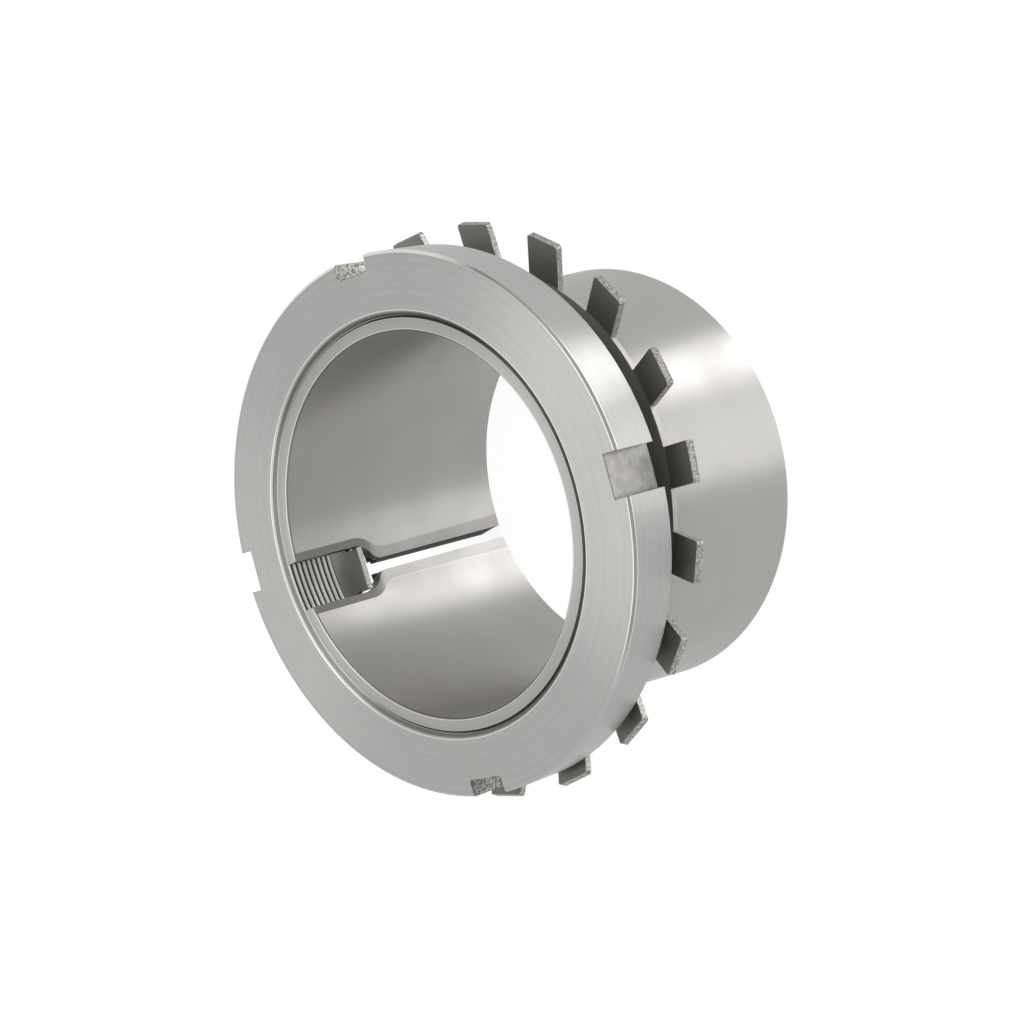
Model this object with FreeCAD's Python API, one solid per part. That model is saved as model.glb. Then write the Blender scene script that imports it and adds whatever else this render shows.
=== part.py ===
import FreeCAD, Part
import math
import os

# Bearing adapter sleeve with its lock washer and lock nut, in millimetres.
# The sleeve stands on its big end. The origin is the centre of that end face, +Z runs along the
# bore towards the lock nut, and the keyway with its slit lies on the +Y side. Angles around the
# axis are measured from +X towards +Y.

V = FreeCAD.Vector
ORIGIN = V(0, 0, 0)
Y_AXIS = V(0, 1, 0)
Z_AXIS = V(0, 0, 1)
CUT_MARGIN = 2.0  # how far a cutting tool runs past the faces that it opens
SAME_PLACE = 0.01  # points nearer than this count as one

# Sleeve: bore, thread and taper
sleeve_length = 88.0
bore_diameter = 110.0
bore_edge_chamfer = 0.5
thread_wall = 5.0  # from the bore to the thread's crests
thread_pitch = 2.0
thread_depth_per_pitch = 0.6134  # metric thread, from crest to root
thread_length = 33.7  # from the nut's end of the sleeve down to the shoulder
thread_end_chamfer = 2.0  # measured inwards from the crests
shoulder_step = 0.94  # the taper's top edge stands this far outside the crests
taper_ratio = 12.0  # length in which the diameter grows by one
big_end_chamfer = 1.2

# Sleeve: keyway, its run-out and the slit below it
keyway_width = 14.4
keyway_above_shoulder = 9.2  # from the shoulder up to the centre of the keyway's round end
keyway_angle = 90.0
slit_width = 3.9
run_out_radius = 4.0  # rounds the keyway's end into the slit
bevel_beside_keyway = 2.4  # width of the relief on the bore, beside the keyway
bevel_below_keyway = 3.35  # the same beside the slit's upper end
bevel_at_big_end = 4.2
bevel_run_out_radius = 14.0
bevel_depth_keyway = 0.6  # how deep the relief reaches into the walls
bevel_depth_slit = 0.4
bevel_overrun = 0.3  # the relief's cut goes on past both of its edges
bevel_sections = 16  # straight steps that follow the round end and the run-out

# Lock washer
washer_thickness = 2.0
washer_bore_clearance = 0.5  # between the washer's bore and the thread's crests
washer_ring_width = 9.0
washer_seat_gap = 0.3  # from the lowest edge of the leaning washer to the shoulder
washer_lean = 5.22  # degrees from square with the axis
washer_high_side = 163.6  # the side of the ring that leans towards the nut
washer_turn = 0.14  # the tab lies this many degrees off the keyway's middle
tooth_count = 19
tooth_width = 11.4
tooth_length = 13.3  # along the front face, from the start of the bend
tooth_bend = 23.8  # degrees, towards the nut
tooth_bend_radius = 2.0
tooth_corner_radius = 0.9
tooth_overlap = 1.0  # how far a tooth's blank reaches into the ring
tab_side_clearance = 0.7
tab_offset = 0.35  # the tab lies this far from the washer's middle, towards one keyway wall

# Lock nut
nut_width = 20.0
nut_washer_gap = 0.7  # from the highest edge of the leaning ring to the nut's back face
nut_rim_height = 8.0  # from the edge of the back face to the outside
nut_front_chamfer = 0.7
nut_back_chamfer_angle = 31.5
nut_bore_chamfer = 0.85
nut_thread_clearance = 0.05
slot_count = 4
slot_width = 12.2
slot_depth = 5.0
slot_angle = -8.0

# Sizes that follow. The ridges of the fine thread are not modelled: the sleeve's threaded end is
# as thick as its thread's roots, and the nut's bore is as wide as the roots of its own thread.
bore_radius = bore_diameter / 2
crest_radius = bore_radius + thread_wall
sleeve_root_radius = crest_radius - thread_depth_per_pitch * thread_pitch
nut_root_radius = crest_radius + nut_thread_clearance
shoulder_z = sleeve_length - thread_length
shoulder_radius = crest_radius + shoulder_step
big_end_radius = shoulder_radius + shoulder_z / taper_ratio / 2
keyway_end_z = shoulder_z + keyway_above_shoulder
keyway_half = keyway_width / 2
slit_half = slit_width / 2
washer_bore_radius = crest_radius + washer_bore_clearance
ring_radius = washer_bore_radius + washer_ring_width
washer_front_z = (
    shoulder_z
    + washer_seat_gap
    + washer_bore_radius * math.sin(math.radians(washer_lean))
    + washer_thickness * math.cos(math.radians(washer_lean))
)
tab_width = keyway_width - 2 * tab_side_clearance
nut_back_z = washer_front_z + ring_radius * math.sin(math.radians(washer_lean)) + nut_washer_gap
nut_front_z = nut_back_z + nut_width
nut_radius = ring_radius + nut_rim_height
slot_floor_radius = nut_radius - slot_depth


def turned(profile):
    """Solid of revolution about Z from (radius, height) corners."""
    corners = [V(radius, 0, height) for radius, height in profile]
    face = Part.Face(Part.makePolygon(corners + corners[:1]))
    return face.revolve(ORIGIN, Z_AXIS, 360)


def run_out_drops(wide, narrow, blend_radius):
    """How far below the keyway's end centre an outline leaves its semicircle, and how far below
    it the blend has reached the narrower gap."""
    reach = wide + blend_radius
    blend_drop = math.sqrt(reach ** 2 - (narrow + blend_radius) ** 2)
    return blend_drop * wide / reach, blend_drop


def half_width_at(drop, wide, narrow, blend_radius):
    """Half the width of that outline, a distance below the keyway's end centre."""
    tangent_drop, blend_drop = run_out_drops(wide, narrow, blend_radius)
    if drop <= 0:
        return wide
    if drop <= tangent_drop:
        return math.sqrt(wide ** 2 - drop ** 2)
    if drop < blend_drop:
        return narrow + blend_radius - math.sqrt(blend_radius ** 2 - (blend_drop - drop) ** 2)
    return narrow


def keyway_cutter():
    """The keyway with its milled round end, the run-out and the slit, cut through one wall."""
    tangent_drop, blend_drop = run_out_drops(keyway_half, slit_half, run_out_radius)

    def wall(side, drop):
        half = half_width_at(drop, keyway_half, slit_half, run_out_radius)
        return V(side * half, 0, keyway_end_z - drop)

    def wall_edges(side):
        """One side from the top down: keyway, round end, run-out and slit."""
        top = V(side * keyway_half, 0, sleeve_length + CUT_MARGIN)
        bottom = V(side * slit_half, 0, -CUT_MARGIN)
        end_arc = [wall(side, tangent_drop * share) for share in (0, 0.5, 1)]
        blend = [wall(side, tangent_drop + (blend_drop - tangent_drop) * share) for share in (0, 0.5, 1)]
        return [
            Part.makeLine(top, end_arc[0]),
            Part.Arc(*end_arc).toShape(),
            Part.Arc(*blend).toShape(),
            Part.makeLine(blend[2], bottom),
        ]

    right = wall_edges(1)
    left = wall_edges(-1)
    across_bottom = Part.makeLine(V(slit_half, 0, -CUT_MARGIN), V(-slit_half, 0, -CUT_MARGIN))
    top_z = sleeve_length + CUT_MARGIN
    across_top = Part.makeLine(V(-keyway_half, 0, top_z), V(keyway_half, 0, top_z))
    outline = Part.Wire(right + [across_bottom] + left[::-1] + [across_top])
    return Part.Face(outline).extrude(Y_AXIS * (big_end_radius + CUT_MARGIN))


def bevel_section(z):
    """Cross-section, at height z, of the cut that relieves the bore's edges beside the keyway."""
    drop = keyway_end_z - z
    share_down = min(max(drop / keyway_end_z, 0), 1)
    slit_bevel = bevel_below_keyway + (bevel_at_big_end - bevel_below_keyway) * share_down
    inner = half_width_at(drop, keyway_half, slit_half, run_out_radius)
    outer = half_width_at(
        drop, keyway_half + bevel_beside_keyway, slit_half + slit_bevel, bevel_run_out_radius
    )
    openness = (inner - slit_half) / (keyway_half - slit_half)
    depth = bevel_depth_slit + (bevel_depth_keyway - bevel_depth_slit) * openness
    inner_y = math.sqrt(bore_radius ** 2 - inner ** 2) + depth
    outer_y = math.sqrt(bore_radius ** 2 - outer ** 2)
    rise = (inner_y - outer_y) / (outer - inner) * bevel_overrun
    corners = [
        V(inner - bevel_overrun, inner_y + rise, z),
        V(outer + bevel_overrun, outer_y - rise, z),
        V(-outer - bevel_overrun, outer_y - rise, z),
        V(-inner + bevel_overrun, inner_y + rise, z),
    ]
    return Part.makePolygon(corners + corners[:1])


def bevel_cutter():
    """The shallow relief along the keyway and the slit, as one run of straight-sided sections."""
    last_drop = run_out_drops(
        keyway_half + bevel_beside_keyway, slit_half + bevel_below_keyway, bevel_run_out_radius
    )[1]
    heights = [sleeve_length + CUT_MARGIN]
    for step in range(bevel_sections + 1):
        heights.append(keyway_end_z - last_drop * step / bevel_sections)
    heights.append(-CUT_MARGIN)
    return Part.makeLoft([bevel_section(z) for z in heights], True, True)


def make_sleeve():
    """Tapered sleeve with a threaded end, keyed and slit along its whole length."""
    end_radius = crest_radius - thread_end_chamfer
    body = turned([
        (bore_radius + bore_edge_chamfer, 0),
        (big_end_radius - big_end_chamfer, 0),
        (big_end_radius, big_end_chamfer),
        (shoulder_radius, shoulder_z),
        (sleeve_root_radius, shoulder_z),
        (sleeve_root_radius, sleeve_length - (sleeve_root_radius - end_radius)),
        (end_radius, sleeve_length),
        (bore_radius + bore_edge_chamfer, sleeve_length),
        (bore_radius, sleeve_length - bore_edge_chamfer),
        (bore_radius, bore_edge_chamfer),
    ])
    body = body.cut([keyway_cutter(), bevel_cutter()])
    body.rotate(ORIGIN, Z_AXIS, keyway_angle - 90)
    return body


def washer_blank():
    """Flat ring with a straight seat for each tooth and the inner tab, its front face at z = 0."""
    seat_half = math.asin(tooth_width / 2 / ring_radius)
    pitch = 2 * math.pi / tooth_count

    def rim(angle):
        return V(ring_radius * math.cos(angle), ring_radius * math.sin(angle), 0)

    outer = []
    for index in range(tooth_count):
        tooth = math.pi / 2 + index * pitch
        gap_end = tooth + pitch - seat_half
        outer.append(Part.makeLine(rim(tooth - seat_half), rim(tooth + seat_half)))
        outer.append(Part.Arc(rim(tooth + seat_half), rim(tooth + pitch / 2), rim(gap_end)).toShape())

    def tab_root(x):
        return V(x, math.sqrt(washer_bore_radius ** 2 - x ** 2), 0)

    right = tab_offset + tab_width / 2
    left = tab_offset - tab_width / 2
    inner = [
        Part.Arc(tab_root(right), V(0, -washer_bore_radius, 0), tab_root(left)).toShape(),
        Part.makeLine(tab_root(left), V(left, bore_radius, 0)),
        Part.makeLine(V(left, bore_radius, 0), V(right, bore_radius, 0)),
        Part.makeLine(V(right, bore_radius, 0), tab_root(right)),
    ]
    face = Part.Face([Part.Wire(outer), Part.Wire(inner)])
    return face.extrude(V(0, 0, -washer_thickness))


def washer_tooth():
    """One tooth along +X, bent towards +Z, with rounded tip corners."""
    bend = math.radians(tooth_bend)
    seat_x = math.sqrt(ring_radius ** 2 - (tooth_width / 2) ** 2)
    back_radius = tooth_bend_radius + washer_thickness
    straight = tooth_length - tooth_bend_radius * bend

    def bent(radius, share):
        """Point of the bend at a radius from its centre, a share of the way round."""
        return V(
            seat_x + radius * math.sin(bend * share),
            0,
            tooth_bend_radius - radius * math.cos(bend * share),
        )

    along = V(math.cos(bend), 0, math.sin(bend)) * straight
    front_bend = [bent(tooth_bend_radius, share) for share in (0, 0.5, 1)]
    back_bend = [bent(back_radius, share) for share in (1, 0.5, 0)]
    front_root = V(seat_x - tooth_overlap, 0, 0)
    back_root = front_root - V(0, 0, washer_thickness)
    front_tip = front_bend[2] + along
    back_tip = back_bend[0] + along
    section = Part.Wire([
        Part.makeLine(front_root, front_bend[0]),
        Part.Arc(*front_bend).toShape(),
        Part.makeLine(front_bend[2], front_tip),
        Part.makeLine(front_tip, back_tip),
        Part.makeLine(back_tip, back_bend[0]),
        Part.Arc(*back_bend).toShape(),
        Part.makeLine(back_bend[2], back_root),
        Part.makeLine(back_root, front_root),
    ])
    section.translate(V(0, -tooth_width / 2, 0))
    tooth = Part.Face(section).extrude(V(0, tooth_width, 0))
    tip_middle = (front_tip + back_tip) / 2
    tip_edges = [
        edge
        for edge in tooth.Edges
        if abs(edge.CenterOfMass.x - tip_middle.x) < SAME_PLACE
        and abs(abs(edge.CenterOfMass.y) - tooth_width / 2) < SAME_PLACE
    ]
    return tooth.makeFillet(tooth_corner_radius, tip_edges)


def make_washer():
    """Stamped lock washer, lying loose and leaning between the shoulder and the nut."""
    tooth = washer_tooth()
    teeth = []
    for index in range(tooth_count):
        copy = tooth.copy()
        copy.rotate(ORIGIN, Z_AXIS, 90 + index * 360 / tooth_count)
        teeth.append(copy)
    washer = washer_blank().fuse(teeth).removeSplitter()
    washer.rotate(ORIGIN, Z_AXIS, keyway_angle - 90 + washer_turn)
    high = math.radians(washer_high_side)
    washer.rotate(ORIGIN, V(math.sin(high), -math.cos(high), 0), washer_lean)
    washer.translate(V(0, 0, washer_front_z))
    return washer


def make_nut():
    """Round lock nut with four spanner slots and a coned back edge."""
    cone_height = nut_rim_height * math.tan(math.radians(nut_back_chamfer_angle))
    body = turned([
        (nut_root_radius + nut_bore_chamfer, nut_back_z),
        (ring_radius, nut_back_z),
        (nut_radius, nut_back_z + cone_height),
        (nut_radius, nut_front_z - nut_front_chamfer),
        (nut_radius - nut_front_chamfer, nut_front_z),
        (nut_root_radius + nut_bore_chamfer, nut_front_z),
        (nut_root_radius, nut_front_z - nut_bore_chamfer),
        (nut_root_radius, nut_back_z + nut_bore_chamfer),
    ])
    slots = []
    for index in range(slot_count):
        corner = V(slot_floor_radius, -slot_width / 2, nut_back_z - CUT_MARGIN)
        slot = Part.makeBox(
            slot_depth + CUT_MARGIN, slot_width, nut_width + 2 * CUT_MARGIN, corner
        )
        slot.rotate(ORIGIN, Z_AXIS, slot_angle + index * 360 / slot_count)
        slots.append(slot)
    return body.cut(slots)


def single_solid(shape):
    """The one solid of a piece, so that its file holds nothing else."""
    if len(shape.Solids) != 1:
        raise ValueError("a piece must be one solid, not %d" % len(shape.Solids))
    return shape.Solids[0]


def main():
    os.makedirs("parts", exist_ok=True)
    pieces = {
        "adapter_sleeve": make_sleeve(),
        "lock_washer": make_washer(),
        "lock_nut": make_nut(),
    }
    for name, shape in pieces.items():
        single_solid(shape).exportStep("parts/%s.step" % name)


main()
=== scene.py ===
"""Bearing adapter sleeve with its lock nut and lock washer: finishes, threads, floor, lamps and camera.

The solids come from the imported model. This script gives each of them the finish of the real steel, cuts the
fine thread that the solids leave out, and sets up a plain pale floor, soft lamps and the camera.
Lengths are in millimetres, as on a drawing, and become metres where a mesh, lamp or camera is made.
"""

import logging
import math
from dataclasses import dataclass
from enum import Enum

import bpy
import numpy as np
from mathutils import Matrix, Vector


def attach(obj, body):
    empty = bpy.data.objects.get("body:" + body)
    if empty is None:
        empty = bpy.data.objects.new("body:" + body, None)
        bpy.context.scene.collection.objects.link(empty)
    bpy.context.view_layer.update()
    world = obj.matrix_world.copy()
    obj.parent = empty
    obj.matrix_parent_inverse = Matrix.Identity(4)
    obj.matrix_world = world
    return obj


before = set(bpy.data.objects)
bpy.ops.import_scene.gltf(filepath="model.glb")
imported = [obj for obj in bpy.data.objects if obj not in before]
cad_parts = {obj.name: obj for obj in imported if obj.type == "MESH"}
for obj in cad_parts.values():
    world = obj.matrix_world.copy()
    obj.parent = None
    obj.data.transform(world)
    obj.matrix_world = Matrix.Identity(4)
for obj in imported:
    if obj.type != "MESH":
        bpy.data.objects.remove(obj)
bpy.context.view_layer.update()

# Short names for the types that the finishes hand round: a limit is a measure with its lowest and highest
# value, and a layer is a colour with the mask that says where it lies.
Tree = bpy.types.NodeTree
Node = bpy.types.Node
Socket = bpy.types.NodeSocket
Material = bpy.types.Material
Limit = tuple[Socket, float, float]
Layer = tuple[str | Socket, Socket]

MM = 0.001
WHITE = (1.0, 1.0, 1.0, 1.0)

# The open ends of a zone: past the nut's rim, and below a measure that is never negative.
PAST_THE_RIM = 90.0
BELOW_ZERO = -1.0

# The middle of a pattern's values, and a wider part of them, to be spread over all of 0 to 1.
MIDDLE = (0.35, 0.65)
WIDE_MIDDLE = (0.3, 0.7)

# How much lines round the axis stretch a highlight, and the axis's share in the direction across them.
LINE_STRETCH = 0.85
AXIS_SHARE = 0.35

TO_SCENE_AXES = {"vector_type": "VECTOR", "convert_from": "OBJECT", "convert_to": "WORLD"}
SEEN_OR_REFLECTED = ("Is Camera Ray", "Is Glossy Ray", "Is Transmission Ray")
THROUGH_THE_FLOOR = ("Is Glossy Ray", "Is Transmission Ray", "Is Shadow Ray")

logging.basicConfig(level=logging.INFO, format="%(message)s")
log = logging.getLogger("adapter_sleeve")


def linear_colour(hex_text: str) -> tuple[float, float, float, float]:
    """Turn an sRGB hex colour to the linear colour that a shader takes.

    The sRGB curve is a straight line of slope 1 in 12.92 up to 0.04045, and a power of 2.4 above it.

    Args:
        hex_text: the colour as it looks on a screen, such as "#A6A6A4".

    Returns:
        Red, green and blue as linear values, and an alpha of 1.
    """
    parts = [int(hex_text[i : i + 2], 16) / 255.0 for i in (1, 3, 5)]
    linear = [p / 12.92 if p <= 0.04045 else ((p + 0.055) / 1.055) ** 2.4 for p in parts]
    return (linear[0], linear[1], linear[2], 1.0)


def fill(tree: Tree, node: Node, inputs: dict) -> None:
    """Fill or link a node's inputs.

    Args:
        tree: the node's tree.
        node: the node.
        inputs: values or output sockets by input name or number.
    """
    for key, value in inputs.items():
        if isinstance(value, Socket):
            tree.links.new(value, node.inputs[key])
        else:
            node.inputs[key].default_value = value


def add_node(tree: Tree, kind: str, settings: dict | None = None, inputs: dict | None = None) -> Node:
    """Add one shader node with its settings, and fill or link its inputs.

    Args:
        tree: the material's node tree.
        kind: the node's type name, such as "ShaderNodeMath".
        settings: the node's own properties, such as {"operation": "ADD"}.
        inputs: values or output sockets by input name or number.

    Returns:
        The new node.
    """
    node = tree.nodes.new(kind)
    for name, value in (settings or {}).items():
        setattr(node, name, value)
    fill(tree, node, inputs or {})
    return node


def new_material(name: str) -> tuple[Material, Tree, Node]:
    """Make an empty node material with one Principled shader.

    Args:
        name: the material's name.

    Returns:
        The material, its node tree and its shader node.
    """
    material = bpy.data.materials.new(name)
    material.use_nodes = True
    tree = material.node_tree
    tree.nodes.clear()
    shader = add_node(tree, "ShaderNodeBsdfPrincipled")
    add_node(tree, "ShaderNodeOutputMaterial", inputs={"Surface": shader.outputs[0]})
    return material, tree, shader


@dataclass(frozen=True)
class Axes:
    """Sockets that a finish reads: place, radius and height in millimetres, and the direction outward."""

    place: Socket
    radius: Socket
    height: Socket
    outward: Socket


def axis_sockets(tree: Tree) -> Axes:
    """Add the nodes that measure a point from the turning axis.

    The radius is the length of (x, y, 0), and outward is that vector at length 1.

    Args:
        tree: the material's node tree.

    Returns:
        The sockets for place, radius, height and outward direction.
    """
    coordinates = add_node(tree, "ShaderNodeTexCoord")
    place = add_node(tree, "ShaderNodeVectorMath", {"operation": "SCALE"},
                     {0: coordinates.outputs["Object"], "Scale": 1.0 / MM})
    flat = add_node(tree, "ShaderNodeVectorMath", {"operation": "MULTIPLY"},
                    {0: place.outputs[0], 1: (1.0, 1.0, 0.0)})
    length = add_node(tree, "ShaderNodeVectorMath", {"operation": "LENGTH"}, {0: flat.outputs[0]})
    outward = add_node(tree, "ShaderNodeVectorMath", {"operation": "NORMALIZE"}, {0: flat.outputs[0]})
    split = add_node(tree, "ShaderNodeSeparateXYZ", inputs={0: place.outputs[0]})
    return Axes(place.outputs[0], length.outputs["Value"], split.outputs["Z"], outward.outputs[0])


def across_the_lines(tree: Tree, axes: Axes) -> Socket:
    """Give the direction across the turning lines, for the shader's tangent.

    Outward plus a little of the axis: on a face its part in the surface is outward, on a wall it is the axis.

    Args:
        tree: the material's node tree.
        axes: the sockets measured from the turning axis.

    Returns:
        A socket with the direction in the scene's own axes.
    """
    tilted = add_node(tree, "ShaderNodeVectorMath", {"operation": "ADD"},
                      {0: axes.outward, 1: (0.0, 0.0, AXIS_SHARE)})
    turned = add_node(tree, "ShaderNodeVectorTransform", TO_SCENE_AXES, {0: tilted.outputs[0]})
    return turned.outputs[0]


def leaning_normal(tree: Tree, axes: Axes, lean: float) -> Socket:
    """Lean the normal of a face away from the turning axis, as the tool's one-sided feed marks do.

    The normal plus a share of the outward direction is brought back to length 1. Walls keep their normal.

    Args:
        tree: the material's node tree.
        axes: the sockets measured from the turning axis.
        lean: the share of the outward direction.

    Returns:
        The leaning normal's socket.
    """
    surface = add_node(tree, "ShaderNodeNewGeometry")
    turned = add_node(tree, "ShaderNodeVectorTransform", TO_SCENE_AXES, {0: axes.outward})
    share = add_node(tree, "ShaderNodeVectorMath", {"operation": "SCALE"},
                     {0: turned.outputs[0], "Scale": lean})
    added = add_node(tree, "ShaderNodeVectorMath", {"operation": "ADD"},
                     {0: surface.outputs["Normal"], 1: share.outputs[0]})
    unit = add_node(tree, "ShaderNodeVectorMath", {"operation": "NORMALIZE"}, {0: added.outputs[0]})
    return unit.outputs[0]


def inside(tree: Tree, limits: list[Limit]) -> Socket:
    """Give 1 where every measure lies between its two limits, and 0 elsewhere.

    Args:
        tree: the material's node tree.
        limits: each measure's socket with its lowest and highest value.

    Returns:
        A socket with 1 or 0.
    """
    parts = [add_node(tree, "ShaderNodeMath", {"operation": "COMPARE"},
                      {0: measure, 1: (low + high) / 2.0, 2: (high - low) / 2.0})
             for measure, low, high in limits]
    mask = parts[0]
    for part in parts[1:]:
        mask = add_node(tree, "ShaderNodeMath", {"operation": "MULTIPLY"},
                        {0: mask.outputs[0], 1: part.outputs[0]})
    return mask.outputs[0]


def laid_over(tree: Tree, colour: Socket | tuple, layers: list[Layer]) -> Socket:
    """Lay colours over a first one in order, each as far as its mask goes from 0 to 1.

    Args:
        tree: the material's node tree.
        colour: the colour underneath, as a socket or as linear values.
        layers: each colour, as sRGB hex or as a socket, with its mask's socket.

    Returns:
        The mixed colour's socket.
    """
    for tone, mask in layers:
        above = linear_colour(tone) if isinstance(tone, str) else tone
        # Inputs 6 and 7 and output 2 are the ones that a mix of colours uses.
        mix = add_node(tree, "ShaderNodeMix", {"data_type": "RGBA"}, {0: mask, 6: colour, 7: above})
        colour = mix.outputs[2]
    return colour


def two_tone(tree: Tree, pattern: Socket, spread: tuple[float, float], tones: tuple[str, str]) -> Socket:
    """Colour a pattern: one tone up to the lower end of the spread, and the other from its upper end on.

    Args:
        tree: the material's node tree.
        pattern: the pattern's socket.
        spread: the two values of the pattern between which one tone passes into the other.
        tones: the two sRGB hex colours, the one of the low values first.

    Returns:
        The colour's socket.
    """
    share = add_node(tree, "ShaderNodeMapRange", inputs={
        "Value": pattern, "From Min": spread[0], "From Max": spread[1]})
    return laid_over(tree, linear_colour(tones[0]), [(tones[1], share.outputs[0])])


@dataclass(frozen=True)
class Ring:
    """A ring-shaped zone between two radii and two heights."""

    inner: float
    outer: float
    low: float
    high: float

    def limits(self, axes: Axes) -> list[Limit]:
        """Give the zone's limits of radius and height."""
        return [(axes.radius, self.inner, self.outer), (axes.height, self.low, self.high)]


@dataclass(frozen=True)
class Tone:
    """A colour of its own in a ring-shaped zone."""

    colour: str
    zone: Ring

    def mask(self, tree: Tree, axes: Axes) -> Socket:
        """Give 1 inside the zone and 0 outside it."""
        return inside(tree, self.zone.limits(axes))


@dataclass(frozen=True)
class PaintedRimLine(Tone):
    """A painted highlight line, or in one use a painted shade line, on one side of the nut's rim, round its
    middle's azimuth and as far each way as it reaches.

    Its ends fade over some degrees. Angles are in degrees.
    """

    azimuth: float
    reach: float
    fade: float = 6.0

    def mask(self, tree: Tree, axes: Axes) -> Socket:
        """Give the line's strength inside its zone, and 0 outside it.

        The strength is the cosine of the angle from the line's middle, spread over 0 to 1 between the
        cosines of its reach plus and minus the fade.

        Args:
            tree: the material's node tree.
            axes: the sockets measured from the turning axis.

        Returns:
            A socket from 0 to 1.
        """
        turn = math.radians(self.azimuth)
        cosine = add_node(tree, "ShaderNodeVectorMath", {"operation": "DOT_PRODUCT"},
                          {0: axes.outward, 1: (math.cos(turn), math.sin(turn), 0.0)})
        strength = add_node(tree, "ShaderNodeMapRange", inputs={
            "Value": cosine.outputs["Value"],
            "From Min": math.cos(math.radians(self.reach + self.fade)),
            "From Max": math.cos(math.radians(self.reach - self.fade))})
        both = add_node(tree, "ShaderNodeMath", {"operation": "MULTIPLY"},
                        {0: super().mask(tree, axes), 1: strength.outputs[0]})
        return both.outputs[0]


@dataclass(frozen=True)
class Cut(Tone):
    """The tone of a milled zone beside the slit or keyway, or the painted shade on their walls, with half the
    zone's width.
    """

    half_width: float

    def mask(self, tree: Tree, axes: Axes) -> Socket:
        """Give 1 in the part of the ring on the +Y side that lies within half the width, and 0 elsewhere.

        Args:
            tree: the material's node tree.
            axes: the sockets measured from the turning axis.

        Returns:
            A socket with 1 or 0.
        """
        split = add_node(tree, "ShaderNodeSeparateXYZ", inputs={0: axes.place})
        return inside(tree, self.zone.limits(axes) + [
            (split.outputs["X"], -self.half_width, self.half_width),
            (split.outputs["Y"], 0.0, PAST_THE_RIM)])


def with_tones(tree: Tree, axes: Axes, colour: Socket, tones: tuple[Tone, ...]) -> Socket:
    """Lay tones over a colour, in order."""
    return laid_over(tree, colour, [(tone.colour, tone.mask(tree, axes)) for tone in tones])


@dataclass(frozen=True)
class Lines:
    """Fine lines round the axis: their two tones, their spacing and depth, and the octaves of their noise."""

    tones: tuple[str, str]
    spacing: float
    depth: float
    octaves: float

    def pattern(self, tree: Tree, axes: Axes) -> Socket:
        """Give the lines as a noise along radius plus height, so that faces and walls both get them.

        Args:
            tree: the material's node tree.
            axes: the sockets measured from the turning axis.

        Returns:
            The noise's socket.
        """
        along = add_node(tree, "ShaderNodeMath", {"operation": "ADD"}, {0: axes.radius, 1: axes.height})
        noise = add_node(tree, "ShaderNodeTexNoise", {"noise_dimensions": "1D"},
                         {"W": along.outputs[0], "Scale": 1.0 / self.spacing, "Detail": self.octaves})
        return noise.outputs[0]


@dataclass(frozen=True)
class Wear:
    """Broad patches of rougher and smoother metal: their scale and octaves, the roughness and its spread."""

    patches_a_mm: float
    octaves: float
    roughness: float
    spread: float

    def pattern(self, tree: Tree, axes: Axes) -> Socket:
        """Give the roughness, which a noise moves up and down by the spread.

        Args:
            tree: the material's node tree.
            axes: the sockets measured from the turning axis.

        Returns:
            The roughness's socket.
        """
        noise = add_node(tree, "ShaderNodeTexNoise", inputs={
            "Vector": axes.place, "Scale": self.patches_a_mm, "Detail": self.octaves})
        rough = add_node(tree, "ShaderNodeMapRange", inputs={
            "Value": noise.outputs[0], "From Min": WIDE_MIDDLE[0], "From Max": WIDE_MIDDLE[1],
            "To Min": self.roughness - self.spread, "To Max": self.roughness + self.spread})
        return rough.outputs[0]


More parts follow.
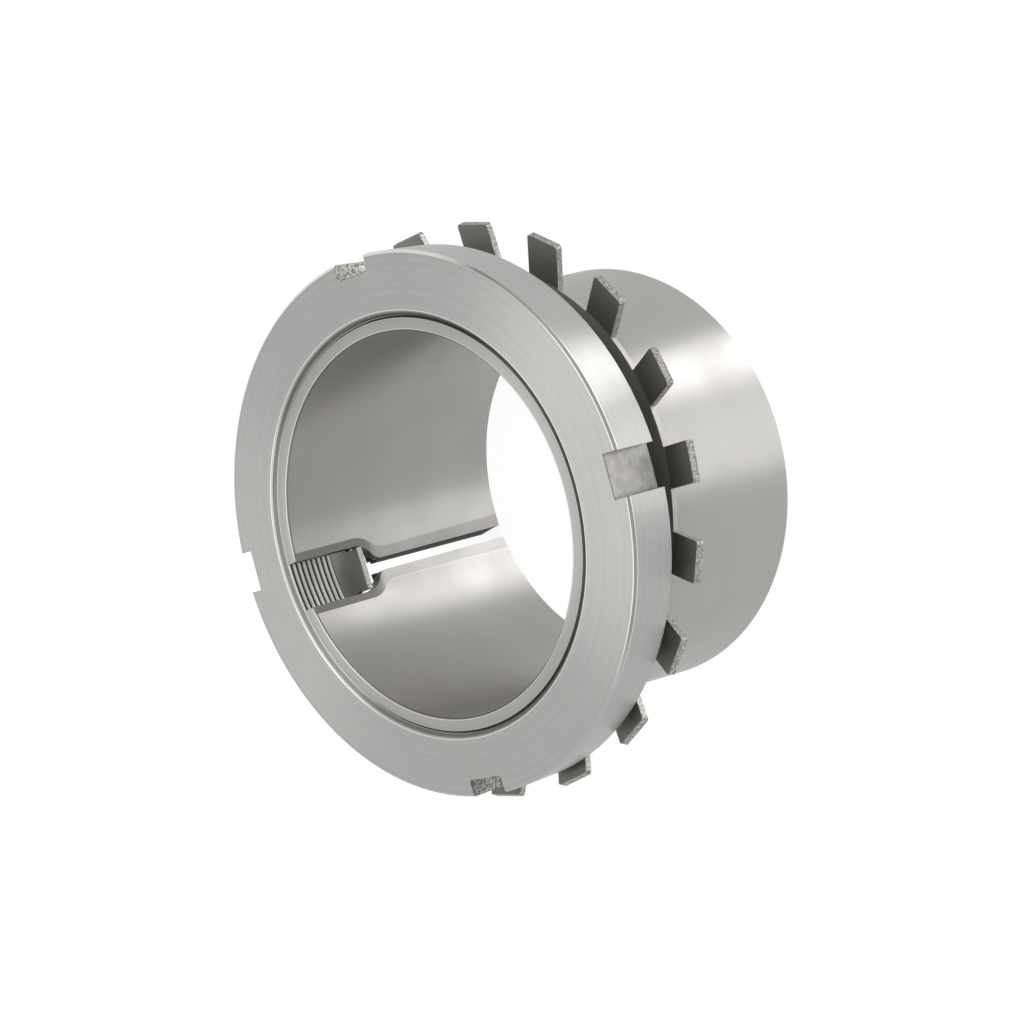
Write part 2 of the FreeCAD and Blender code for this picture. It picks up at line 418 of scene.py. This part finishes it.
@dataclass(frozen=True)
class TurnedSteel:
    """Bare steel turned on a lathe, lightly oiled: bright, with fine rings that catch the light.

    The tool's real rings are about 0.3 mm apart, too fine to show, so they are drawn coarser. Wear lies
    in patches about 11 mm wide. The rim has a broad painted highlight on one side, and on another a painted
    shade line between two painted highlight lines; the bore's front edge has a painted highlight. The
    thread's grooves carry a painted shade, lighter at the lead-in, and the milled slots show small marks or a
    mottled satin.
    """

    rings: Lines = Lines(("#A9A8A6", "#B0AFAD"), spacing=0.75, depth=0.006, octaves=2.0)
    wear: Wear = Wear(patches_a_mm=0.09, octaves=3.0, roughness=0.42, spread=0.03)
    # Painted highlights and shade on the rim, set by azimuth: two highlight lines round -101 degrees, a shade
    # line on the chamfer round -87, and a broad highlight round 10.
    rim_highlights_and_shade: tuple[PaintedRimLine, ...] = (
        PaintedRimLine("#D3D2CF", Ring(76.5, 76.85, 88.9, 89.3), azimuth=-101.0, reach=36.0),
        PaintedRimLine("#D3D2CF", Ring(77.4, 77.6, 88.05, 88.4), azimuth=-101.0, reach=36.0),
        PaintedRimLine("#82807D", Ring(76.88, 77.45, 88.43, 89.08), azimuth=-87.0, reach=48.0),
        PaintedRimLine("#DCDBD8", Ring(76.6, 77.5, 88.4, 89.2), azimuth=10.0, reach=48.0),
    )
    # Painted shade in the thread's grooves, and a lighter painted shade at the lead-in.
    groove: Tone = Tone("#4E4C49", Ring(59.5, 60.3, 69.0, 87.7))
    lead_in_shade: Tone = Tone("#787673", Ring(59.5, 60.4, 87.7, 88.65))
    # A painted highlight on the bore's front edge.
    painted_bore_edge: Tone = Tone("#E2E1DE", Ring(60.8, 61.05, 88.8, 89.3))
    slot_angle: float = -8.0
    front: float = 89.1
    slot_floor: float = 72.3
    slot_half_width: float = 6.25
    mark_size: float = 0.55
    mark_tones: tuple[str, str] = ("#686663", "#A3A19D")
    satin_size: float = 2.6
    satin_octaves: float = 3.0
    satin_tones: tuple[str, str] = ("#8F8D89", "#A19F9B")
    # A painted shade along the front corner of the second pair of slots, and its width.
    slot_corner_shade: str = "#6B6966"
    corner_shade_width: float = 0.4
    outward_lean: float = 0.07

    def slots(self, tree: Tree, axes: Axes) -> list[Layer]:
        """Give the milled finish of the four spanner slots.

        The slots lie along two crossed lines through the axis. Along the first line the cutter left small
        glittering marks, and along the second a mottled satin with a painted shade in the front corner.

        Args:
            tree: the material's node tree.
            axes: the sockets measured from the turning axis.

        Returns:
            The layers to lay over the turned surface's colour.
        """
        turned = add_node(tree, "ShaderNodeVectorRotate", {"rotation_type": "Z_AXIS"},
                          {"Vector": axes.place, "Angle": math.radians(-self.slot_angle)})
        spread = add_node(tree, "ShaderNodeVectorMath", {"operation": "ABSOLUTE"}, {0: turned.outputs[0]})
        split = add_node(tree, "ShaderNodeSeparateXYZ", inputs={0: spread.outputs[0]})
        x, y, half = split.outputs["X"], split.outputs["Y"], self.slot_half_width
        first = [(x, self.slot_floor, PAST_THE_RIM), (y, BELOW_ZERO, half)]
        second = [(y, self.slot_floor, PAST_THE_RIM), (x, BELOW_ZERO, half)]
        # The second pair's front corner, where the painted shade lies.
        corner = second + [(axes.height, self.front - self.corner_shade_width, self.front)]
        marks = add_node(tree, "ShaderNodeTexVoronoi", inputs={
            "Vector": axes.place, "Scale": 1.0 / self.mark_size})
        cloud = add_node(tree, "ShaderNodeTexNoise", inputs={
            "Vector": axes.place, "Scale": 1.0 / self.satin_size, "Detail": self.satin_octaves})
        return [
            (two_tone(tree, marks.outputs["Color"], WIDE_MIDDLE, self.mark_tones), inside(tree, first)),
            (two_tone(tree, cloud.outputs[0], MIDDLE, self.satin_tones), inside(tree, second)),
            (self.slot_corner_shade, inside(tree, corner)),
        ]

    def material(self) -> Material:
        """Make the material: rings, painted rim highlights and shade, and painted thread shade by radius and
        height, and the slots over them.

        Returns:
            The material.
        """
        material, tree, shader = new_material("turned_steel_nut")
        axes = axis_sockets(tree)
        rings = self.rings.pattern(tree, axes)
        tones = (*self.rim_highlights_and_shade, self.groove, self.lead_in_shade, self.painted_bore_edge)
        turned = with_tones(tree, axes, two_tone(tree, rings, MIDDLE, self.rings.tones), tones)
        bump = add_node(tree, "ShaderNodeBump", inputs={
            "Distance": self.rings.depth * MM, "Height": rings,
            "Normal": leaning_normal(tree, axes, self.outward_lean)})
        fill(tree, shader, {
            "Base Color": laid_over(tree, turned, self.slots(tree, axes)), "Metallic": 1.0,
            "Roughness": self.wear.pattern(tree, axes), "Anisotropic": LINE_STRETCH,
            "Tangent": across_the_lines(tree, axes), "Normal": bump.outputs[0]})
        return material


@dataclass(frozen=True)
class GroundSteel:
    """Bare steel turned and then ground smooth: satin, with hair-fine lines round it.

    The real lines are less than 0.1 mm apart, too fine to show, so they are drawn coarser. Wear lies in
    patches about 17 mm wide. The milled relief beside the slit and keyway is duller, and a painted shade
    makes their walls darker still. The thread's grooves and its first turn carry a painted shade. The
    bore's front edge has a painted highlight, and the chamfer inside it a painted shade.
    """

    lines: Lines = Lines(("#A8A6A3", "#AAA8A5"), spacing=0.9, depth=0.001, octaves=3.0)
    wear: Wear = Wear(patches_a_mm=0.06, octaves=4.0, roughness=0.42, spread=0.04)
    cuts: tuple[Cut, ...] = (
        Cut("#8C8A87", Ring(55.03, 55.75, 57.5, 87.4), half_width=13.0),
        Cut("#999794", Ring(55.03, 55.75, 0.6, 57.5), half_width=13.0),
        # A painted shade on the walls of the keyway and slit.
        Cut("#4A4845", Ring(55.75, 60.85, 0.6, 88.2), half_width=7.25),
    )
    # Painted shade in the thread's grooves, and over its first turn at the front where it meets the nut.
    groove: Tone = Tone("#4E4C49", Ring(58.72, 59.55, 54.35, 87.97))
    first_turn_shade: Tone = Tone("#4E4C49", Ring(58.72, 60.3, 85.5, 87.97))
    # A painted shade on the chamfer inside the bore's front edge, and a painted highlight on that edge.
    painted_bore_edge: Tone = Tone("#6B6966", Ring(54.9, 55.35, 87.45, 87.9))
    bore_rim_highlight: Tone = Tone("#D2D1CE", Ring(55.35, 55.65, 87.9, 88.1))

    def material(self) -> Material:
        """Make the material: hair-fine lines round the axis, with the cuts, the painted wall and thread
        shade, and the painted edge highlight and shade over them.

        Returns:
            The material.
        """
        material, tree, shader = new_material("ground_steel_sleeve")
        axes = axis_sockets(tree)
        lines = self.lines.pattern(tree, axes)
        tones = (*self.cuts, self.groove, self.first_turn_shade, self.painted_bore_edge, self.bore_rim_highlight)
        ground = two_tone(tree, lines, MIDDLE, self.lines.tones)
        bump = add_node(tree, "ShaderNodeBump", inputs={
            "Distance": self.lines.depth * MM, "Height": lines})
        fill(tree, shader, {
            "Base Color": with_tones(tree, axes, ground, tones), "Metallic": 1.0,
            "Roughness": self.wear.pattern(tree, axes), "Anisotropic": LINE_STRETCH,
            "Tangent": across_the_lines(tree, axes), "Normal": bump.outputs[0]})
        return material


@dataclass(frozen=True)
class RolledSheet:
    """Cold-rolled sheet steel, phosphated dark grey: matt, with torn, mottled metal on its sheared edges.

    The ring's own rim, between the teeth, is an even grey. The sheet's real grain and the tears on its
    edges are too fine to show, so both are drawn coarser.
    """

    colour: str = "#9B9995"
    edge_tones: tuple[str, str] = ("#6C6A67", "#B6B4AF")
    edge_grain: float = 0.5
    edge_octaves: float = 3.0
    rim: Tone = Tone("#9E9C99", Ring(66.0, 70.3, 50.0, 80.0))
    face_slope: float = 0.65
    grain: float = 0.8
    grain_height: float = 0.004
    grain_octaves: float = 2.0
    roughness: float = 0.5

    def sheared(self, tree: Tree, axes: Axes) -> Socket:
        """Give the colour, torn where the surface stands across the sheet.

        Faces look along the axis, so their normal's height part is near 1, and at a sheared edge it is small.

        Args:
            tree: the material's node tree.
            axes: the sockets measured from the turning axis.

        Returns:
            The colour's socket.
        """
        surface = add_node(tree, "ShaderNodeNewGeometry")
        normal = add_node(tree, "ShaderNodeVectorTransform",
                          {"vector_type": "NORMAL", "convert_from": "WORLD", "convert_to": "OBJECT"},
                          {0: surface.outputs["True Normal"]})
        split = add_node(tree, "ShaderNodeSeparateXYZ", inputs={0: normal.outputs[0]})
        torn = add_node(tree, "ShaderNodeTexNoise", inputs={
            "Vector": axes.place, "Scale": 1.0 / self.edge_grain, "Detail": self.edge_octaves})
        edge = two_tone(tree, torn.outputs[0], MIDDLE, self.edge_tones)
        edge = with_tones(tree, axes, edge, (self.rim,))
        across = inside(tree, [(split.outputs["Z"], -self.face_slope, self.face_slope)])
        return laid_over(tree, linear_colour(self.colour), [(edge, across)])

    def material(self) -> Material:
        """Make the material: the sheet's colour with its edges, and a fine grain.

        Returns:
            The material.
        """
        material, tree, shader = new_material("rolled_sheet_washer")
        axes = axis_sockets(tree)
        grain = add_node(tree, "ShaderNodeTexNoise", inputs={
            "Vector": axes.place, "Scale": 1.0 / self.grain, "Detail": self.grain_octaves})
        bump = add_node(tree, "ShaderNodeBump", inputs={
            "Distance": self.grain_height * MM, "Height": grain.outputs[0]})
        fill(tree, shader, {
            "Base Color": self.sheared(tree, axes), "Metallic": 1.0,
            "Roughness": self.roughness, "Normal": bump.outputs[0]})
        return material


@dataclass(frozen=True)
class SawnSteel:
    """Steel as the slitting saw left it: dull, with painted shade that makes it dark, so that it outlines the
    slit.

    The saw's marks lie across the wall, and the painted shade is a little darker in them.
    """

    # Both tones are painted shade, dark enough to outline the slit.
    mark_tones: tuple[str, str] = ("#353331", "#3F3D3B")
    mark_spacing: float = 0.8
    mark_octaves: float = 2.0
    mark_height: float = 0.01
    roughness: float = 0.7

    def material(self) -> Material:
        """Make the material, with saw marks by height.

        Returns:
            The material.
        """
        material, tree, shader = new_material("sawn_steel_painted_shade")
        axes = axis_sockets(tree)
        marks = add_node(tree, "ShaderNodeTexNoise", {"noise_dimensions": "1D"}, {
            "W": axes.height, "Scale": 1.0 / self.mark_spacing, "Detail": self.mark_octaves})
        bump = add_node(tree, "ShaderNodeBump", inputs={
            "Distance": self.mark_height * MM, "Height": marks.outputs[0]})
        fill(tree, shader, {
            "Base Color": two_tone(tree, marks.outputs[0], MIDDLE, self.mark_tones),
            "Roughness": self.roughness, "Normal": bump.outputs[0]})
        return material


def dress(obj: bpy.types.Object, material: Material) -> None:
    """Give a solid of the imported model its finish, in every material slot that it has.

    Args:
        obj: the solid's object.
        material: the finish.
    """
    if not obj.material_slots:
        obj.data.materials.append(material)
    for place in obj.material_slots:
        place.material = material
    log.info("%s: dressed in %s", obj.name, material.name)


def mesh_object(name: str, points: np.ndarray, faces: np.ndarray, material: Material) -> bpy.types.Object:
    """Make a mesh object at the origin from points in millimetres.

    Args:
        name: the object's name.
        points: the vertices, one row each, in millimetres.
        faces: the quads, one row of four vertex numbers each.
        material: the finish.

    Returns:
        The new object, linked to the scene.
    """
    mesh = bpy.data.meshes.new(name)
    mesh.from_pydata((points * MM).tolist(), [], faces.tolist())
    mesh.update()
    mesh.materials.append(material)
    obj = bpy.data.objects.new(name, mesh)
    bpy.context.scene.collection.objects.link(obj)
    return obj


def grid_faces(rows: int, columns: int, wrap_rows: bool, wrap_columns: bool) -> np.ndarray:
    """Give the quads of a grid of points, which may close on itself either way.

    Quad (i, j) joins the points (i, j), (i, j+1), (i+1, j+1) and (i+1, j).

    Args:
        rows: number of rows of points.
        columns: number of points in a row.
        wrap_rows: whether the last row joins the first.
        wrap_columns: whether the last point of a row joins its first.

    Returns:
        One row of four vertex numbers for each quad.
    """
    i, j = np.meshgrid(np.arange(rows if wrap_rows else rows - 1),
                       np.arange(columns if wrap_columns else columns - 1), indexing="ij")
    i, j = i.ravel(), j.ravel()
    i2, j2 = (i + 1) % rows, (j + 1) % columns
    return np.stack([i * columns + j, i * columns + j2, i2 * columns + j2, i2 * columns + j], axis=1)


@dataclass(frozen=True)
class FineThread:
    """The 2 mm right-handed metric thread that the sleeve and the nut share."""

    pitch: float = 2.0
    crest_radius: float = 60.0
    flank_slope: float = math.tan(math.radians(30.0))

    def distance_from_crest(self, angle: np.ndarray, height: np.ndarray) -> np.ndarray:
        """Give how far a point lies along the axis from the middle of the nearest ridge of the sleeve.

        The ridge's middle climbs one pitch in a turn, so the distance is height minus pitch times turns,
        folded into half a pitch each way.

        Args:
            angle: angle round the axis, in radians.
            height: height along the axis.

        Returns:
            The distance, from 0 on the ridge to half a pitch in the groove.
        """
        turns = height / self.pitch - angle / (2.0 * math.pi)
        return np.abs(turns - np.round(turns)) * self.pitch


@dataclass
class AdapterSleeve:
    """The slit sleeve: its own solid stays. Its thread and one leaning wall of the slit are new pieces.

    Root, crest and backing are radii of the thread, and low and high its ends. The wall's sizes begin
    with wall, and the taper is the height over which the radius falls by 1.
    """

    thread: FineThread
    finish: GroundSteel
    sawn: SawnSteel
    root: float = 58.80
    crest: float = 59.97
    crest_half_width: float = 0.10
    backing: float = 58.60
    backing_inset: float = 0.05
    low: float = 54.35
    high: float = 88.0
    end_chamfer: float = 1.3
    solid_chamfer: float = 2.0
    keyway_half_width: float = 7.2
    round_end_height: float = 63.5
    slit_half_width: float = 1.95
    rows: int = 240
    samples_a_pitch: int = 10
    big_end_radius: float = 63.2
    taper: float = 24.0
    wall_low: float = 1.3
    wall_high: float = 54.2
    wall_inner: float = 55.5
    wall_inset: float = 0.05
    wall_lean: float = 0.55

    def opening_half_width(self, height: np.ndarray) -> np.ndarray:
        """Give the half width of the keyway, with its rounded end, at a height.

        Above the round end's middle the walls are parallel. Below it the half width follows a circle down
        to that of the slit.

        Args:
            height: heights along the axis.

        Returns:
            The half widths.
        """
        below = np.clip(self.round_end_height - height, 0.0, self.keyway_half_width)
        circle = np.sqrt(self.keyway_half_width**2 - below**2)
        return np.maximum(circle, self.slit_half_width)

    def thread_piece(self, material: Material) -> bpy.types.Object:
        """Cut the outer thread as one closed band that lies over the solid's thread root.

        For each angle and height the radius is the crest's within the ridge's flat, falls along the 30
        degree flank to the root, and is held under the end chamfer. A row of points runs up that surface
        and down again behind it, and a strip of quads closes the band at each side of the opening.

        Args:
            material: the finish.

        Returns:
            The thread's object.
        """
        count = int((self.high - self.low) / self.thread.pitch * self.samples_a_pitch)
        height = np.linspace(self.low, self.high, count)
        edge = np.arcsin(self.opening_half_width(height) / self.root)
        share = np.linspace(0.0, 1.0, self.rows)[:, None]
        angle = math.pi / 2.0 + edge + share * (2.0 * math.pi - 2.0 * edge)
        away = self.thread.distance_from_crest(angle, height)
        radius = self.crest - np.maximum(away - self.crest_half_width, 0.0) / self.thread.flank_slope
        radius = np.maximum(radius, self.root)
        chamfer = self.thread.crest_radius - self.end_chamfer + (self.high - height)
        radius = np.minimum(radius, chamfer)
        solid = self.thread.crest_radius - self.solid_chamfer + (self.high - height)
        back = np.minimum(self.backing, solid - self.backing_inset) + np.zeros_like(radius)
        radius = np.concatenate([radius, back[:, ::-1]], axis=1)
        angle = np.concatenate([angle, angle[:, ::-1]], axis=1)
        tall = np.broadcast_to(np.concatenate([height, height[::-1]]), radius.shape)
        points = np.stack([radius * np.cos(angle), radius * np.sin(angle), tall], axis=-1)
        columns = 2 * count
        band = grid_faces(self.rows, columns, False, True)[:, ::-1]
        step = np.arange(count - 1)
        first = np.stack([step, step + 1, columns - 2 - step, columns - 1 - step], axis=1)
        last = first[:, ::-1] + (self.rows - 1) * columns
        faces = np.concatenate([band, first, last])
        return mesh_object("sleeve_thread", points.reshape(-1, 3), faces, material)

    def slit_wall_piece(self, material: Material) -> bpy.types.Object:
        """Lean the slit's +X wall inwards with a long wedge on the solid's straight wall.

        The wedge has four corners in section: two inside the wall, one at the bore's side and one that
        stands out by the lean where the taper's surface is. That surface's radius falls by 1 in 24 of
        the height. Four quads run along it, and one closes each end.

        Args:
            material: the finish.

        Returns:
            The wedge's object.
        """
        height = np.array([self.wall_low, self.wall_high])
        outer = self.big_end_radius - height / self.taper - self.wall_inset
        inner = np.full_like(outer, self.wall_inner)
        behind = np.full_like(outer, self.slit_half_width + self.wall_inset)
        proud = np.full_like(outer, self.slit_half_width - self.wall_lean)
        x = np.stack([behind, behind, proud, behind - self.wall_inset], axis=1)
        y = np.stack([inner, outer, outer, inner], axis=1)
        z = np.broadcast_to(height[:, None], x.shape)
        points = np.stack([x, y, z], axis=-1).reshape(-1, 3)
        ends = np.array([[3, 2, 1, 0], [4, 5, 6, 7]])
        faces = np.concatenate([grid_faces(*x.shape, False, True), ends])
        return mesh_object("slit_wall", points, faces, material)

    def build(self) -> None:
        """Dress the sleeve's solid and add its thread and the slit's leaning wall."""
        material = self.finish.material()
        dress(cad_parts["adapter_sleeve"], material)
        for piece in (self.thread_piece(material), self.slit_wall_piece(self.sawn.material())):
            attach(piece, "sleeve")
            log.info("%s: %d faces", piece.name, len(piece.data.polygons))


@dataclass
class LockWasher:
    """The toothed washer: its own solid stays."""

    finish: RolledSheet

    def build(self) -> None:
        """Dress the washer's solid."""
        dress(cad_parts["lock_washer"], self.finish.material())


@dataclass
class LockNut:
    """The ring nut: its own solid stays, and its thread is a new piece in the bore.

    Root, crest and backing are radii of the thread, and low and high the nut's two faces.
    """

    thread: FineThread
    finish: TurnedSteel
    root: float = 60.03
    crest: float = 58.92
    crest_half_width: float = 0.20
    backing: float = 60.25
    low: float = 69.119
    high: float = 89.119
    bore_chamfer: float = 0.85
    rows: int = 480
    samples_a_pitch: int = 16

    def thread_piece(self, material: Material) -> bpy.types.Object:
        """Cut the inner thread as one closed ring that lies over the solid's bore.

        For each angle and height the radius is the crest's within the ridge's flat, rises along the 30
        degree flank to the root, and is held outside the end chamfers. Its ridges lie half a pitch from
        the sleeve's.

        Args:
            material: the finish.

        Returns:
            The thread's object.
        """
        low, high = self.low + self.bore_chamfer, self.high - self.bore_chamfer
        count = int((high - low) / self.thread.pitch * self.samples_a_pitch)
        height = np.linspace(low, high, count)
        angle = np.linspace(0.0, 2.0 * math.pi, self.rows, endpoint=False)[:, None]
        away = self.thread.pitch / 2.0 - self.thread.distance_from_crest(angle, height)
        radius = self.crest + np.maximum(away - self.crest_half_width, 0.0) / self.thread.flank_slope
        radius = np.minimum(radius, self.root)
        chamfer = self.root - np.minimum(height - low, high - height)
        radius = np.maximum(radius, chamfer)
        back = np.full_like(radius[:, :2], self.backing)
        radius = np.concatenate([radius, back], axis=1)
        tall = np.broadcast_to(np.concatenate([height, height[-1:], height[:1]]), radius.shape)
        points = np.stack([radius * np.cos(angle), radius * np.sin(angle), tall], axis=-1)
        faces = grid_faces(self.rows, radius.shape[1], True, True)
        return mesh_object("nut_thread", points.reshape(-1, 3), faces, material)

    def build(self) -> None:
        """Dress the nut's solid and add its thread."""
        material = self.finish.material()
        dress(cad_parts["lock_nut"], material)
        thread = self.thread_piece(material)
        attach(thread, "nut")
        log.info("nut_thread: %d faces", len(thread.data.polygons))


class Side(Enum):
    """The softboxes round the bench."""

    KEY = "key"
    FILL = "fill"
    LEFT = "left"
    TOP = "top"
    RIGHT = "right"
    ZENITH = "zenith"


@dataclass(frozen=True)
class Softbox:
    """One soft lamp that faces the object: where it stands, its size and how bright it looks."""

    side: Side
    azimuth: float
    elevation: float
    width: float
    height: float
    radiance: float
    distance: float = 900.0

    def build(self) -> None:
        """Set the lamp up. Its power is radiance times area times pi."""
        lamp = bpy.data.lights.new(f"softbox_{self.side.value}", "AREA")
        lamp.shape = "RECTANGLE"
        lamp.size = self.width * MM
        lamp.size_y = self.height * MM
        lamp.energy = self.radiance * lamp.size * lamp.size_y * math.pi
        turn, rise = math.radians(self.azimuth), math.radians(self.elevation)
        place = Vector((math.cos(rise) * math.cos(turn), math.cos(rise) * math.sin(turn), math.sin(rise)))
        obj = bpy.data.objects.new(lamp.name, lamp)
        obj.location = place * self.distance * MM
        obj.rotation_euler = place.to_track_quat("Z", "Y").to_euler()
        obj.visible_camera = False
        bpy.context.scene.collection.objects.link(obj)


def any_ray(tree: Tree, kinds: tuple[str, ...]) -> Socket:
    """Add the nodes that are 1 for a ray of one of the kinds named.

    Args:
        tree: the node tree of the floor or the world.
        kinds: outputs of Light Path, such as "Is Camera Ray".

    Returns:
        A socket with 1 or 0.
    """
    path = add_node(tree, "ShaderNodeLightPath")
    found = path.outputs[kinds[0]]
    for kind in kinds[1:]:
        either = add_node(tree, "ShaderNodeMath", {"operation": "MAXIMUM"},
                          {0: found, 1: path.outputs[kind]})
        found = either.outputs[0]
    return found


@dataclass
class Studio:
    """The floor, the lamps, the world and the camera."""

    eye: tuple[float, float, float] = (-66.112, -463.703, 545.332)
    right: tuple[float, float, float] = (-0.35096, -0.65980, -0.66445)
    up: tuple[float, float, float] = (0.93173, -0.31679, -0.17755)
    lens: float = 82.272
    sensor: float = 36.0
    nearest: float = 10.0
    farthest: float = 50000.0
    floor_size: float = 6000.0
    floor_level: float = -0.05
    floor_colour: str = "#7A7A7A"
    floor_roughness: float = 0.9
    floor_glow: float = 0.88
    surroundings: float = 0.4
    # Each with its side, azimuth, elevation, width, height, radiance, and a distance if it stands nearer.
    softboxes: tuple[Softbox, ...] = (
        Softbox(Side.KEY, -58.0, -42.0, 150.0, 420.0, 3.3, 420.0),
        Softbox(Side.FILL, -96.0, -34.0, 240.0, 720.0, 1.1, 500.0),
        Softbox(Side.LEFT, -150.0, 50.0, 600.0, 500.0, 1.15),
        Softbox(Side.TOP, -90.0, 50.0, 600.0, 500.0, 0.9),
        Softbox(Side.RIGHT, -30.0, 50.0, 600.0, 500.0, 2.0),
        Softbox(Side.ZENITH, -90.0, 89.0, 700.0, 700.0, 0.9),
    )

    def camera(self) -> None:
        """Set the camera up at the photograph's place, turned by its right and up directions."""
        data = bpy.data.cameras.new("camera")
        data.lens = self.lens
        data.sensor_width = self.sensor
        data.clip_start = self.nearest * MM
        data.clip_end = self.farthest * MM
        obj = bpy.data.objects.new("camera", data)
        right = Vector(self.right).normalized()
        back = right.cross(Vector(self.up)).normalized()
        up = back.cross(right)
        turn = Matrix((right, up, back)).transposed().to_4x4()
        obj.matrix_world = Matrix.Translation(Vector(self.eye) * MM) @ turn
        bpy.context.scene.collection.objects.link(obj)
        bpy.context.scene.camera = obj

    def world(self) -> None:
        """Light the scene from all round, white where it is seen or reflected and dimmer as light."""
        world = bpy.data.worlds.new("studio")
        bpy.context.scene.world = world
        world.use_nodes = True
        tree = world.node_tree
        tree.nodes.clear()
        strength = add_node(tree, "ShaderNodeMapRange", inputs={
            "Value": any_ray(tree, SEEN_OR_REFLECTED), "To Min": self.surroundings, "To Max": 1.0})
        back = add_node(tree, "ShaderNodeBackground", inputs={
            "Color": WHITE, "Strength": strength.outputs[0]})
        add_node(tree, "ShaderNodeOutputWorld", inputs={0: back.outputs[0]})

    def floor(self) -> None:
        """Lay the plain white floor under the object, a light table of opal glass that keeps the shadow.

        It glows where it is looked at. Reflections see through it to the lamps below, and their light
        passes through it to the object.
        """
        half, level = self.floor_size / 2.0, self.floor_level
        points = np.array([
            [-half, -half, level], [half, -half, level], [half, half, level], [-half, half, level]])
        material, tree, shader = new_material("opal_glass_floor")
        glow = add_node(tree, "ShaderNodeMath", {"operation": "MULTIPLY"},
                        {0: any_ray(tree, SEEN_OR_REFLECTED), 1: self.floor_glow})
        fill(tree, shader, {
            "Base Color": linear_colour(self.floor_colour), "Roughness": self.floor_roughness,
            "Specular IOR Level": 0.0, "Emission Color": WHITE, "Emission Strength": glow.outputs[0]})
        clear = add_node(tree, "ShaderNodeBsdfTransparent")
        both = add_node(tree, "ShaderNodeMixShader", inputs={
            0: any_ray(tree, THROUGH_THE_FLOOR), 1: shader.outputs[0], 2: clear.outputs[0]})
        output = next(n for n in tree.nodes if n.bl_idname == "ShaderNodeOutputMaterial")
        fill(tree, output, {"Surface": both.outputs[0]})
        mesh_object("floor", points, np.array([[0, 1, 2, 3]]), material)

    def build(self) -> None:
        """Set up the whole studio, with colours shown as they are."""
        bpy.context.scene.view_settings.view_transform = "Standard"
        self.camera()
        self.world()
        self.floor()
        for softbox in self.softboxes:
            softbox.build()
        log.info("studio: floor, %d softboxes, world and camera", len(self.softboxes))


def main() -> None:
    """Build the studio and the three sub-assemblies in order."""
    thread = FineThread()
    Studio().build()
    AdapterSleeve(thread, GroundSteel(), SawnSteel()).build()
    LockWasher(RolledSheet()).build()
    LockNut(thread, TurnedSteel()).build()


if __name__ == "__main__":
    main()
